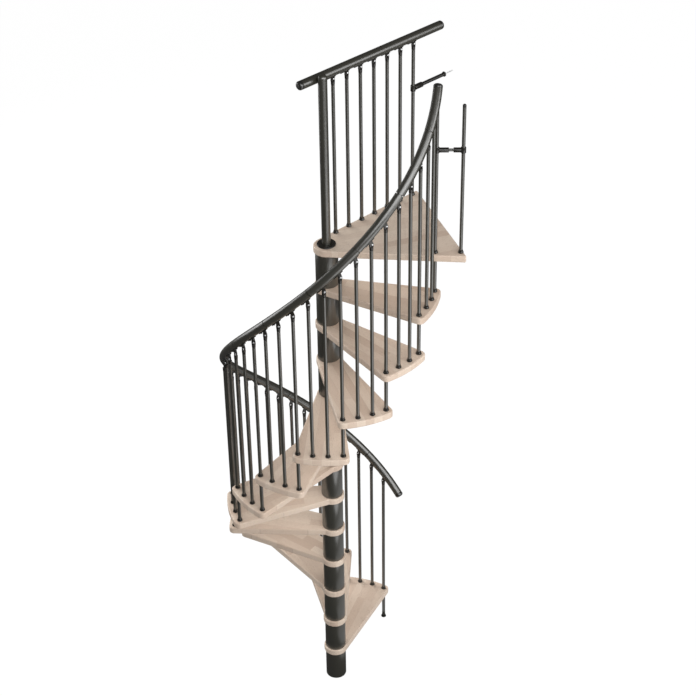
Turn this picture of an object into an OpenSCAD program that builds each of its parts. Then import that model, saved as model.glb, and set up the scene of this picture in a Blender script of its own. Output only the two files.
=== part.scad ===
// Spiral staircase kit with wooden treads threaded on a steel column, a tubular
// balustrade with a helical handrail, and a triangular landing with its own rail.
// Origin on the column's axis at floor level, +Z up. The stair climbs
// counter-clockwise seen from above. Angles are measured from +X.

/* [Rise and turn] */
// Rise from the top of one tread to the top of the next
riser = 225; // [190:5:240]
// Number of treads below the landing
treads = 12; // [8:1:12]
// Angle from one tread's nose baluster to the next one's
tread_turn = 24.375; // [22:0.125:30]
// Angle of the first tread's nose baluster
first_nose = 57.5; // [0:0.5:360]

/* [Treads] */
// Thickness of the treads and of the landing
tread_t = 38; // [30:1:50]
// Radius of the treads' curved outer edge
tread_r = 565; // [480:5:760]
// How far the disc round the column stands out past the spacer tubes
hub_lip = 8; // [6:1:20]
// From the treads' outer edge to the balusters' centres
edge_inset = 30.7; // [24:0.1:40]
// From the nose edge to the nose baluster's centre
nose_inset = 26; // [22:1:36]
// From the back edge to the next nose baluster's centre
back_inset = 31; // [24:1:40]
// From the hub disc's outline in to the back edge's line
back_step = 13; // [8:1:20]
// Radius of the treads' two outer corners
corner_r = 28; // [10:1:40]

/* [Column] */
// Outer diameter of the spacer tubes
spacer_d = 114; // [90:1:120]
// Wall of the spacer tubes
spacer_wall = 3; // [2:0.5:5]
// Diameter of the pole inside them
pole_d = 42; // [30:1:48]
// Thickness of the base plate
base_t = 8; // [6:1:15]
// Diameter of the anchor holes
anchor_d = 11; // [8:0.5:13]
// Diameter of the disc round the post's foot
post_disc_d = 95; // [80:1:120]
// Thickness of that disc
post_disc_t = 8; // [4:1:14]

/* [Balusters] */
// Diameter of the balusters
baluster_d = 17.5; // [12:0.5:20]
// Diameter of the tubes that tie each tread to the one below
tie_d = 18.5; // [12:0.5:24]
// How far a collar's foot stands out round its baluster or tube
collar_flare = 5.5; // [3:0.5:10]
// Height of the collars
collar_h = 17; // [8:1:20]
// How far the ring on top of a tie tube stands out round it
tie_ring_w = 1.5; // [1:0.5:5]
// Height of that ring
tie_ring_h = 5; // [3:1:12]

/* [Handrail] */
// Outer diameter of both handrails
rail_d = 44; // [36:1:50]
// Height of the handrail's centre over the tread noses
rail_h = 888; // [800:1:1000]
// Where the handrail starts, in treads from the first nose
rail_start = -0.46; // [-0.6:0.01:-0.2]
// How far the handrail runs past the landing's nose, in treads
rail_past = 0; // [0:0.01:0.2]
// Where the first joint lies, in treads from the first nose
rail_first_joint = 0.45; // [0.4:0.01:0.6]
// Length of one section of handrail, in treads
rail_section = 0.99; // [0.95:0.01:1]
// Length of the rounded caps on the rails' ends
cap_l = 20; // [15:1:30]

/* [Landing] */
// How far the landing's far edge lies beyond the treads' radius
landing_past = 35; // [0:5:100]
// Direction that the far edge faces
landing_facing = 18.6; // [10:0.1:25]
// Direction of the guarded edge
guard_dir = 42; // [38:0.5:48]
// Radius of the landing's two far corners
landing_corner_r = 8; // [4:1:20]
// Number of balusters along the guarded edge
guard_count = 7; // [4:1:9]
// First one's distance along the edge from the column's axis
guard_first = 106; // [90:1:130]
// From the last one to the landing's far edge, along the guarded edge
guard_edge_inset = 42.5; // [20:0.5:60]
// Gap between the post and the landing's handrail
post_gap = 4; // [2:0.5:10]
// Height of the rail's centre above the landing
guard_rail_h = 880; // [800:5:1000]
// How far the rail's tube runs back past the column's axis
guard_rail_back = 89; // [60:1:120]
// How far the rail's tube runs past the last baluster
guard_rail_past = 173; // [60:1:220]
// Diameter of the post over the column
post_d = 44; // [36:1:50]
// Height of the post above the landing
post_h = 920; // [860:5:1040]

/* [Gap guard] */
// From the landing's nose edge to the free baluster's centre
free_nose_inset = 35.3; // [20:0.1:50]
// From the landing's far edge to the free baluster's centre
free_edge_inset = 14.5; // [14:0.5:40]
// Height of the free baluster above the landing
free_h = 806; // [700:2:900]
// Height of the link and of its clamps above the landing
link_h = 566; // [400:2:700]
// Diameter of the link's two sleeves
link_d = 24; // [20:1:30]
// Diameter of the rod between the sleeves
link_rod_d = 14; // [10:1:18]
// Length of the link's sleeve at the nose baluster
link_near_l = 56; // [30:1:60]
// Length of the link's sleeve at the free baluster
link_far_l = 46; // [30:1:60]
// Wall of the clamps round the balusters
clamp_wall = 4; // [3:0.5:8]

/* [Wall arm] */
// Height of the wall arm above the landing
arm_h = 603; // [400:1:700]
// Length from the baluster to the wall plate's face
arm_l = 218; // [120:1:300]
// Length of the thick sleeve at the baluster
arm_sleeve_l = 60; // [30:5:100]
// Diameter of that sleeve
arm_sleeve_d = 26.5; // [20:0.5:30]
// Diameter of the arm's tube
arm_tube_d = 18.5; // [12:0.5:20]
// Diameter of the wall plate
arm_plate_d = 26; // [20:1:40]
// Thickness of the wall plate
arm_plate_t = 8; // [4:1:12]
// Diameter of the wall screw
arm_screw_d = 6; // [4:0.5:8]
// Length of the wall screw's shank beyond the plate
arm_screw_l = 50; // [30:5:90]
// Length of the screw's point
arm_point_l = 10; // [6:1:16]

/* [Rail brackets] */
// How far the plug's top and the eye stand out round the baluster
eye_flare = 1.5; // [1:0.5:4]
// Height of the tapered plug on top of each baluster
plug_h = 20; // [10:1:30]
// Diameter of the hole in the eye
eye_hole_d = 6.5; // [4:0.5:8]
// Distance of that hole from the baluster's axis
eye_hole_offset = 4; // [2:0.5:5]
// Width of the eye and its neck
eye_w = 10; // [6:0.5:14]
// Thickness of the hook that runs over the hole
hook_t = 3; // [2:0.5:5]
// From the helical rail's underside down to the eye
stair_eye_gap = 29; // [24:1:36]
// From the landing rail's underside down to the eye
guard_eye_gap = 16; // [14:1:24]
// Width of the plate under the rail
plate_w = 15; // [12:1:20]
// Thickness of the plate under the rail
plate_t = 4; // [3:0.5:6]
// How far the plate runs uphill from the baluster's axis
plate_up = 14; // [10:1:20]
// How far the plate runs downhill from the baluster's axis
plate_down = 44; // [36:1:56]
// Diameter of the screw heads
screw_head_d = 9; // [6:0.5:12]
// Height of the screw heads
screw_head_h = 4; // [2:0.5:6]

/* [Hidden] */
$fn = 48;
clearance = 0.3;         // gap round a piece that passes through another
rail_r = rail_d / 2;
pole_r = pole_d / 2;
plate_r = spacer_d / 2 - spacer_wall - clearance;
anchor_pcd = pole_r + plate_r;
hub_r = spacer_d / 2 + hub_lip;
baluster_r = tread_r - edge_inset;
back_offset = hub_r - back_step;
landing_reach = tread_r + landing_past;
guard_offset = post_d / 2 + post_gap + rail_r;
eye_d = baluster_d + 2 * eye_flare;
plate_mid = (plate_down - plate_up) / 2;    // of the plate, downhill from over the baluster
landing_z = (treads + 1) * riser;
last_nose = first_nose + treads * tread_turn;
thirds = 3;              // balusters to each tread
rail_sides = 20;
rail_rings = 7;          // steps along one section of handrail
arc_n = 8;               // steps round a corner
seat_w = 3;              // how far the plate's edges wrap up round the rail

// rise of the helical rail over the length of its run seen from above
tread_run = baluster_r * tread_turn * PI / 180;
rail_slope = atan(riser / tread_run);
rail_end = treads + rail_past;
joints = concat([rail_start],
                [for (u = [rail_first_joint : rail_section : rail_end - 0.2]) u],
                [rail_end]);
sections = len(joints) - 1;

function two_digits(n) = n < 10 ? str("0", n) : str(n);
function polar(r, a) = [r * cos(a), r * sin(a)];
function turn2(p, a) = [p[0] * cos(a) - p[1] * sin(a), p[0] * sin(a) + p[1] * cos(a)];
function arc(centre, r, from, to, n = arc_n) =
    [for (i = [0:n]) centre + polar(r, from + (to - from) * i / n)];
function direction(p) = atan2(p[1], p[0]);
function stair_angle(u) = first_nose + u * tread_turn;
function rail_z(u) = riser + rail_h + u * riser;

// the nose edge touches the hub disc and passes nose_inset in front of the baluster
nose_dir = asin((hub_r - nose_inset) / baluster_r);
back_dir = tread_turn - asin((back_offset - back_inset) / baluster_r);

TREADS = [for (k = [1:treads]) str("tread_", two_digits(k))];
RAILS = [for (k = [1:sections]) str("handrail_", two_digits(k))];

WOOD = "#cdb8a4";
METAL = "#4a4a46";
BLACK = "#2b2b29";

// ---- outlines ----

// a tread seen from above, with its nose baluster on the X axis
function tread_outline() =
    let (inner = tread_r - corner_r,
         nose_c = turn2([sqrt(pow(inner, 2) - pow(hub_r - corner_r, 2)), corner_r - hub_r], nose_dir),
         back_c = turn2([sqrt(pow(inner, 2) - pow(back_offset - corner_r, 2)), back_offset - corner_r],
                        back_dir),
         back_start = back_dir + asin(back_offset / hub_r))
    concat(arc([0, 0], hub_r, back_start, nose_dir + 270, 4 * arc_n),
           arc(nose_c, corner_r, nose_dir - 90, direction(nose_c)),
           arc([0, 0], tread_r, direction(nose_c), direction(back_c), 2 * arc_n),
           arc(back_c, corner_r, direction(back_c), back_dir + 90));

// where two lines meet, each given by the direction it faces and its distance from the axis
function meet(a, da, b, db) =
    let (d = sin(b - a))
    [(da * sin(b) - db * sin(a)) / d, (db * cos(a) - da * cos(b)) / d];

front_facing = last_nose + nose_dir - 90;
guard_facing = guard_dir + 90;

// where the line of the guard's balusters meets the far edge, from the column's axis
guard_end = (landing_reach - guard_offset * cos(guard_facing - landing_facing))
            / cos(guard_dir - landing_facing);
guard_last = guard_end - guard_edge_inset;
guard_pitch = (guard_last - guard_first) / (guard_count - 1);

// the landing seen from above: hub disc, nose edge, far edge and guarded edge
function landing_outline() =
    let (r = landing_corner_r,
         near_c = meet(front_facing, hub_r - r, landing_facing, landing_reach - r),
         far_c = meet(landing_facing, landing_reach - r, guard_facing, hub_r - r))
    concat(arc([0, 0], hub_r, guard_facing, front_facing, 4 * arc_n),
           arc(near_c, r, front_facing, landing_facing + 360),
           arc(far_c, r, landing_facing, guard_facing));

// ---- shapes that repeat ----

module board(outline) {
    difference() {
        translate([0, 0, -tread_t]) linear_extrude(tread_t) polygon(outline);
        translate([0, 0, -tread_t - 1]) cylinder(r = pole_r + clearance, h = tread_t + 2);
    }
}

module at_stair(u, z) {
    rotate([0, 0, stair_angle(u)]) translate([baluster_r, 0, z]) children();
}

module at_guard(s, z) {
    rotate([0, 0, guard_dir]) translate([s, guard_offset, z]) children();
}

// bell-shaped ring on the surface at z = 0 round a rod
module collar(rod_d) {
    r = rod_d / 2;
    h = collar_h;
    rotate_extrude()
        polygon([[r + clearance, 0], [r + collar_flare, 0], [r + collar_flare, 0.2 * h],
                 [r + 0.8 * collar_flare, 0.4 * h], [r + 0.4 * collar_flare, 0.7 * h],
                 [r + 0.2 * collar_flare, h], [r + clearance, h]]);
}

// rounded end of a rail, standing on z = 0
module rail_cap() {
    round_r = rail_r / 2;
    rotate_extrude()
        polygon(concat([[0, 0], [rail_r, 0]],
                       arc([rail_r - round_r, cap_l - round_r], round_r, 0, 90),
                       [[0, cap_l]]));
}

// Outline of the eye over a baluster's plug and of its neck, which ends inside the plate under the
// rail. On the uphill side the neck is cut back to a hook that runs slantwise over the hole.
module eye_outline(eye_z, slope) {
    r = eye_d / 2;
    neck_x = 0.2 * r;
    neck_top = -(rail_r + plate_t / 2) / cos(slope);
    difference() {
        polygon([[-r, eye_z - r], [r, eye_z - r], [r, eye_z + hook_t],
                 [neck_x, neck_top + neck_x * tan(slope)], [-r, neck_top - r * tan(slope)]]);
        translate([eye_hole_offset, eye_z]) circle(d = eye_hole_d);
    }
}

// plug and eye on a baluster's top, the rail's centre at the origin, uphill along +Y
module bracket_stem(slope, eye_gap) {
    eye_z = -rail_r / cos(slope) - eye_gap;
    translate([0, 0, eye_z - eye_d / 2 - plug_h])
        cylinder(d1 = baluster_d + 2 * clearance, d2 = eye_d, h = plug_h);
    rotate([90, 0, 90]) translate([0, 0, -eye_w / 2]) linear_extrude(eye_w) eye_outline(eye_z, slope);
}

// plate under the rail with its screw, centred on the rail's centre at the origin, uphill along +Y
module bracket_plate(slope) {
    plate_l = plate_down + plate_up;
    difference() {
        rotate([slope, 0, 0]) {
            translate([-plate_w / 2, -plate_l / 2, -rail_r - plate_t])
                cube([plate_w, plate_l, plate_t + seat_w]);
            translate([0, screw_head_d - plate_l / 2, -rail_r - plate_t - screw_head_h])
                cylinder(d = screw_head_d, h = screw_head_h + 1);
        }
        rotate([slope + 90, 0, 0])
            cylinder(r = rail_r + clearance, h = 2 * plate_l, center = true, $fn = 96);
    }
}

// ---- handrail ----

// point on the helical rail's skin at u treads from the first nose and side angle a
function rail_point(u, a) =
    let (along = stair_angle(u),
         out = rail_r * cos(a),
         up = rail_r * sin(a),
         flat = polar(baluster_r + out, along) - turn2([0, up * sin(rail_slope)], along))
    [flat[0], flat[1], rail_z(u) + up * cos(rail_slope)];

module rail_tube(u0, u1) {
    n = rail_sides;
    rings = rail_rings;
    points = [for (i = [0:rings], j = [0:n - 1]) rail_point(u0 + (u1 - u0) * i / rings, 360 * j / n)];
    sides = [for (i = [0:rings - 1], j = [0:n - 1])
        let (a = i * n + j, b = i * n + (j + 1) % n) [a, a + n, b + n, b]];
    ends = [[for (j = [0:n - 1]) j], [for (j = [n - 1:-1:0]) rings * n + j]];
    polyhedron(points, concat(sides, ends), convexity = 4);
}

// puts a piece that stands on z = 0 on the rail's end at u, facing up or down the slope
module at_rail_end(u, uphill) {
    at_stair(u, rail_z(u)) rotate([rail_slope + (uphill ? -90 : 90), 0, 0]) children();
}

// ---- column ----

module base_plate() {
    color(METAL) difference() {
        cylinder(r = plate_r, h = base_t);
        for (a = [45:90:315])
            rotate([0, 0, a]) translate([anchor_pcd / 2, 0, -1]) cylinder(d = anchor_d, h = base_t + 2);
    }
}

module centre_pole() {
    color(METAL) translate([0, 0, base_t]) cylinder(r = pole_r, h = landing_z - base_t);
}

module column_spacers() {
    color(METAL) for (k = [0:treads])
        translate([0, 0, k * riser]) difference() {
            cylinder(d = spacer_d, h = riser - tread_t, $fn = 96);
            translate([0, 0, -1])
                cylinder(d = spacer_d - 2 * spacer_wall, h = riser - tread_t + 2, $fn = 96);
        }
}

module post_disc() {
    color(BLACK) translate([0, 0, landing_z]) difference() {
        union() {
            cylinder(d = post_disc_d, h = post_disc_t / 2);
            translate([0, 0, post_disc_t / 2])
                cylinder(d1 = post_disc_d, d2 = post_disc_d - post_disc_t, h = post_disc_t / 2);
        }
        translate([0, 0, -1]) cylinder(r = post_d / 2 + clearance, h = post_disc_t + 2);
    }
}

module landing_post() {
    dome = post_d / 2 - 3;
    color(METAL) translate([0, 0, landing_z]) rotate_extrude()
        polygon(concat([[0, 0], [post_d / 2, 0]], arc([3, post_h - dome], dome, 0, 90), [[0, post_h]]));
}

// ---- treads and landing ----

module tread(k) {
    color(WOOD) rotate([0, 0, stair_angle(k - 1)]) translate([0, 0, k * riser]) board(tread_outline());
}

module landing_board() {
    color(WOOD) translate([0, 0, landing_z]) board(landing_outline());
}

// ---- stair balustrade ----

// tubes from each tread's back edge, or the floor, up to the nose above
module tie_tubes() {
    color(METAL) for (k = [0:treads])
        at_stair(k, k * riser) cylinder(d = tie_d, h = riser - tread_t);
}

module tie_collars() {
    color(BLACK) for (k = [0:treads]) {
        at_stair(k, k * riser) collar(tie_d);
        at_stair(k, (k + 1) * riser - tread_t - tie_ring_h) difference() {
            cylinder(r = tie_d / 2 + tie_ring_w, h = tie_ring_h);
            translate([0, 0, -1]) cylinder(r = tie_d / 2 + clearance, h = tie_ring_h + 2);
        }
    }
}

function baluster_steps() = [for (i = [0:treads * thirds]) i];
function plug_bottom(slope, eye_gap) = -rail_r / cos(slope) - eye_gap - eye_d / 2 - plug_h;

module stair_balusters() {
    color(METAL) for (i = baluster_steps()) {
        u = i / thirds;
        foot = (floor(u + 0.01) + 1) * riser;
        at_stair(u, foot)
            cylinder(d = baluster_d, h = rail_z(u) + plug_bottom(rail_slope, stair_eye_gap) - foot);
    }
}

module stair_collars() {
    color(BLACK) for (i = baluster_steps())
        at_stair(i / thirds, (floor(i / thirds + 0.01) + 1) * riser) collar(baluster_d);
}

module stair_brackets() {
    plate_back = (rail_r * tan(rail_slope) + plate_mid) * cos(rail_slope) / tread_run;
    color(BLACK) for (i = baluster_steps()) {
        u = i / thirds;
        at_stair(u, rail_z(u)) bracket_stem(rail_slope, stair_eye_gap);
        at_stair(u - plate_back, rail_z(u - plate_back)) bracket_plate(rail_slope);
    }
}

module handrail(k) {
    color(METAL) rail_tube(joints[k - 1], joints[k]);
}

module handrail_caps() {
    color(METAL) {
        at_rail_end(rail_start, false) rail_cap();
        at_rail_end(rail_end, true) rail_cap();
    }
}

// ---- landing balustrade ----

guard_places = [for (i = [0:guard_count - 1]) guard_first + i * guard_pitch];

module guard_balusters() {
    color(METAL) for (s = guard_places)
        at_guard(s, landing_z)
            cylinder(d = baluster_d, h = guard_rail_h + plug_bottom(0, guard_eye_gap));
}

module guard_collars() {
    color(BLACK) for (s = guard_places) at_guard(s, landing_z) collar(baluster_d);
}

module guard_brackets() {
    color(BLACK) for (s = guard_places) {
        at_guard(s, landing_z + guard_rail_h) rotate([0, 0, -90]) bracket_stem(0, guard_eye_gap);
        at_guard(s - plate_mid, landing_z + guard_rail_h) rotate([0, 0, -90]) bracket_plate(0);
    }
}

module guard_rail() {
    color(METAL) at_guard(-guard_rail_back, landing_z + guard_rail_h)
        rotate([0, 90, 0]) cylinder(r = rail_r, h = guard_rail_back + guard_last + guard_rail_past);
}

module guard_rail_caps() {
    color(METAL) {
        at_guard(-guard_rail_back, landing_z + guard_rail_h) rotate([0, -90, 0]) rail_cap();
        at_guard(guard_last + guard_rail_past, landing_z + guard_rail_h) rotate([0, 90, 0]) rail_cap();
    }
}

// ---- free baluster and its link ----

near_xy = polar(baluster_r, last_nose);
free_xy = meet(front_facing, hub_r - free_nose_inset, landing_facing, landing_reach - free_edge_inset);
link_dir = direction(free_xy - near_xy);
link_l = norm(free_xy - near_xy);

module free_baluster() {
    tip = baluster_d / 2 - 2;
    color(METAL) translate([free_xy[0], free_xy[1], landing_z]) rotate_extrude()
        polygon(concat([[0, 0], [baluster_d / 2, 0]], arc([2, free_h - tip], tip, 0, 90), [[0, free_h]]));
}

module free_baluster_collar() {
    color(BLACK) translate([free_xy[0], free_xy[1], landing_z]) collar(baluster_d);
}

module at_link(x) {
    translate([near_xy[0], near_xy[1], landing_z + link_h])
        rotate([0, 0, link_dir]) translate([x, 0, 0]) children();
}

// a sleeve along +X from a clamp ring at the origin
module clamp_sleeve(sleeve_d, length) {
    difference() {
        union() {
            rotate([0, 90, 0]) cylinder(d = sleeve_d, h = length);
            cylinder(r = baluster_d / 2 + clamp_wall, h = sleeve_d + 4, center = true);
        }
        cylinder(r = baluster_d / 2 + clearance, h = 2 * sleeve_d, center = true);
    }
}

module link_sleeves() {
    color(BLACK) {
        at_link(0) clamp_sleeve(link_d, link_near_l);
        at_link(link_l) rotate([0, 0, 180]) clamp_sleeve(link_d, link_far_l);
    }
}

module link_rod() {
    color(METAL) at_link(link_near_l) rotate([0, 90, 0])
        cylinder(d = link_rod_d, h = link_l - link_near_l - link_far_l);
}

// ---- wall arm ----

module wall_arm() {
    color(BLACK) at_guard(guard_last, landing_z + arm_h) {
        clamp_sleeve(arm_sleeve_d, arm_sleeve_l);
        rotate([0, 90, 0]) {
            translate([0, 0, arm_sleeve_l - 1])
                cylinder(d = arm_tube_d, h = arm_l - arm_plate_t - arm_sleeve_l + 2);
            translate([0, 0, arm_l - arm_plate_t]) cylinder(d = arm_plate_d, h = arm_plate_t);
        }
    }
}

module wall_screw() {
    color("silver") at_guard(guard_last + arm_l, landing_z + arm_h) rotate([0, 90, 0]) {
        cylinder(d = arm_screw_d, h = arm_screw_l);
        translate([0, 0, arm_screw_l]) cylinder(d1 = arm_screw_d, d2 = arm_screw_d / 4, h = arm_point_l);
    }
}

base_plate();
centre_pole();
column_spacers();
for (k = [1:treads])
    tread(k);
landing_board();
post_disc();
landing_post();
tie_tubes();
tie_collars();
stair_balusters();
stair_collars();
stair_brackets();
for (k = [1:sections])
    handrail(k);
handrail_caps();
guard_balusters();
guard_collars();
guard_brackets();
guard_rail();
guard_rail_caps();
free_baluster();
free_baluster_collar();
link_sleeves();
link_rod();
wall_arm();
wall_screw();
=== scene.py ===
# %% [markdown]
# # A spiral staircase in Blender
# The real object is a kit: twelve beech treads are threaded on a steel column, with a short
# tube between each two. Slim balusters stand on the treads' outer ends and carry a helical
# handrail, and a triangular landing with its own rail closes the top. The exact sizes come
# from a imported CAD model, which is loaded first and stays as it is. Each cell then models
# one kind of piece with Blender's own tools, at the place that the CAD gives it, and dresses
# it in a finish made of shader nodes.

# %% Load the CAD model as the frame
import math

import bpy
from mathutils import Matrix, Vector


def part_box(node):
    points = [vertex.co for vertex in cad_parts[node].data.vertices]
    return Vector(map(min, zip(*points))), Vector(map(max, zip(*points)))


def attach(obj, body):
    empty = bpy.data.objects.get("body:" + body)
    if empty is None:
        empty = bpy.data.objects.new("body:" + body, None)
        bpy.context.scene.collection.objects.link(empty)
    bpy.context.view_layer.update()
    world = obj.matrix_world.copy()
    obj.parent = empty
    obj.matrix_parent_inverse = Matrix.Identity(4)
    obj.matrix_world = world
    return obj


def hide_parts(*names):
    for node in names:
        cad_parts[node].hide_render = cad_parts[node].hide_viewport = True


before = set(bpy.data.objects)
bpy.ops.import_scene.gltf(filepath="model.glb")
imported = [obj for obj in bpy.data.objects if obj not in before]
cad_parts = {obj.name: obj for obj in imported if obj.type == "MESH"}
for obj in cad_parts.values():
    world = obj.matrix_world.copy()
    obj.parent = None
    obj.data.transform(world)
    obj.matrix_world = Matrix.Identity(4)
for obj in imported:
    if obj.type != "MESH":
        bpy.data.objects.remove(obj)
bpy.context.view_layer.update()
scene = bpy.context.scene

# %% [markdown]
# ## The stair's own numbers
# Everything on a spiral stair repeats by one rise and one turn, so a few values place all of
# it. They are the CAD model's driving sizes, in metres and radians. The treads' tops in the
# frame are printed beside them, to show whether both speak of the same stair.

# %% Driving sizes
MM = 0.001
RISER = 225 * MM
TREADS = 12
TURN = math.radians(24.375)
FIRST_NOSE = math.radians(57.5)
TREAD_T = 38 * MM
BALUSTER_R = 534.3 * MM
BALUSTER_D = 17.5 * MM
RAIL_R = 22 * MM
RAIL_H = 888 * MM
LANDING_Z = (TREADS + 1) * RISER
GUARD_DIR = math.radians(42)
GUARD_OFFSET = 48 * MM
LANDING_DIR = math.radians(18.6)
GUARD_RAIL_H = 880 * MM
SLOPE = math.atan2(RISER, BALUSTER_R * TURN)
CLEARANCE = 0.3 * MM

for k in (1, 6, 12):
    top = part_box(f"tread_{k:02d}")[1].z
    print(f"tread {k}: top at {top:.4f} m, expected {k * RISER:.4f} m")


def at_stair(u, z):
    """The place over the balusters' circle, u treads on from the first nose, uphill along +Y."""
    return Matrix.Rotation(FIRST_NOSE + u * TURN, 4, "Z") @ Matrix.Translation((BALUSTER_R, 0, z))


def at_guard(s, z):
    """The place on the landing's line of balusters, s metres out from the column, along +X."""
    return Matrix.Rotation(GUARD_DIR, 4, "Z") @ Matrix.Translation((s, GUARD_OFFSET, z))


def rail_z(u):
    """Height of the helical rail's centre."""
    return RISER + RAIL_H + u * RISER


# %% [markdown]
# ## Camera
# A long lens looks down on the stair from well above the landing, so that every tread shows.
# The camera is made first, because all that follows is judged through it. Its own axes are
# worked out from three angles: yaw from +Y towards +X, pitch above the horizon, and roll.

# %% Camera
CAMERA_PLACE = (0.0712, -7.6021, 7.7256)
YAW, PITCH, ROLL = (math.radians(degrees) for degrees in (0.19765, -35.51412, -0.92097))
LENS, SENSOR, FARTHEST = 95.13, 36, 100

camera_data = bpy.data.cameras.new("camera")
camera_data.sensor_width = SENSOR
camera_data.lens = LENS
camera_data.clip_end = FARTHEST
camera = bpy.data.objects.new("camera", camera_data)
scene.collection.objects.link(camera)
forward = Vector((math.sin(YAW) * math.cos(PITCH), math.cos(YAW) * math.cos(PITCH),
                  math.sin(PITCH)))
level = Vector((math.cos(YAW), -math.sin(YAW), 0))
upright = level.cross(forward)
right = math.cos(ROLL) * level + math.sin(ROLL) * upright
up = math.cos(ROLL) * upright - math.sin(ROLL) * level
axes = Matrix((right, up, -forward)).transposed().to_4x4()
camera.matrix_world = Matrix.Translation(CAMERA_PLACE) @ axes
scene.camera = camera
print("camera looks along", [round(v, 3) for v in forward])

# %% [markdown]
# ## Writing finishes as expressions
# A finish is a tree of nodes, and trees are tedious to wire by hand. One small class wraps a
# socket, so that `1 - grain * 0.3` adds its own Math nodes, and one method adds any other
# node. The materials below then read like formulas.

# %% Node helpers
class Socket:
    """An output socket that can be used in sums."""

    def __init__(self, finish, socket):
        self.finish, self.socket = finish, socket

    def at(self, name):
        """Another output of the same node."""
        return Socket(self.finish, self.socket.node.outputs[name])

    def maths(self, operation, *values):
        """A Math node on some values or sockets."""
        settings = dict(operation=operation)
        return self.finish.node("ShaderNodeMath", settings, dict(enumerate(values)))

    def __add__(self, other):
        return self.maths("ADD", self, other)

    __radd__ = __add__

    def __sub__(self, other):
        return self.maths("SUBTRACT", self, other)

    def __rsub__(self, other):
        return self.maths("SUBTRACT", other, self)

    def __mul__(self, other):
        return self.maths("MULTIPLY", self, other)

    __rmul__ = __mul__

    def __truediv__(self, other):
        return self.maths("DIVIDE", self, other)

    def __rtruediv__(self, other):
        return self.maths("DIVIDE", other, self)

    def floor(self):
        return self.maths("FLOOR", self)

    def fraction(self):
        return self.maths("FRACT", self)

    def absolute(self):
        return self.maths("ABSOLUTE", self)

    def clamped(self):
        return self.maths("MAXIMUM", self.maths("MINIMUM", self, 1), 0)


class Finish:
    """A material with one Principled shader, built up node by node."""

    def __init__(self, name, **uniform):
        self.material = bpy.data.materials.new(name)
        self.material.use_nodes = True
        self.tree = self.material.node_tree
        self.shader = self.tree.nodes["Principled BSDF"]
        self.drives(**uniform)

    def node(self, kind, settings=None, inputs=None):
        """Any node: its settings first, then the values or links of its sockets."""
        made = self.tree.nodes.new(kind)
        for key, value in (settings or {}).items():
            if key == "stops":
                ramp = made.color_ramp
                for stop, (position, colour) in zip(ramp.elements, value):
                    stop.position, stop.color = position, (*colour, 1)
                for position, colour in value[2:]:
                    ramp.elements.new(position).color = (*colour, 1)
            else:
                setattr(made, key, value)
        for key, value in (inputs or {}).items():
            self.feed(made.inputs[key], value)
        return Socket(self, next(s for s in made.outputs if s.enabled))

    def feed(self, socket, value):
        if isinstance(value, Socket):
            self.tree.links.new(value.socket, socket)
        else:
            socket.default_value = value

    def drives(self, **sockets):
        """Sets or links the shader's sockets, with _ for a space in a name."""
        for name, value in sockets.items():
            self.feed(self.shader.inputs[name.replace("_", " ")], value)

    def blend(self, factor, a, b):
        """A colour between a and b."""
        mix = self.node("ShaderNodeMix", dict(data_type="RGBA"))
        node = mix.socket.node
        self.feed(node.inputs[0], factor)
        self.feed(node.inputs[6], a)
        self.feed(node.inputs[7], b)
        return Socket(self, node.outputs[2])

    def bump(self, height, distance, strength):
        relief = dict(Height=height, Distance=distance, Strength=strength)
        return self.node("ShaderNodeBump", {}, relief)


def colour(r, g, b):
    return (r, g, b, 1.0)


# %% [markdown]
# ## Beech
# The boards are glued up from solid beech staves about 45 mm wide that run along the tread,
# each stave a row of shorter blocks. Beech is pale and slightly pink, with fine dark flecks
# along the grain. The pattern lives on Object coordinates, turned so that X runs along the
# tread: dividing Y by the stave width and X by the block length gives each block a number,
# and a White Noise node turns that into its own tone. Because it's a solid pattern, the
# blocks show on the edges as they do on a real board.

# %% Beech finish
STAVE_W = 45 * MM
BLOCK_L = 420 * MM
SEAM_W = 0.5 * MM
BLOCK_TONES = ((0.0, (0.620, 0.475, 0.370)), (1.0, (0.790, 0.660, 0.540)),
               (0.35, (0.700, 0.560, 0.450)), (0.7, (0.735, 0.600, 0.485)))
DARK_RING, PALE_FIBRE = colour(0.63, 0.48, 0.375), colour(0.82, 0.685, 0.57)
FLECK, GLUE = colour(0.33, 0.20, 0.13), colour(0.32, 0.21, 0.15)


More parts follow.
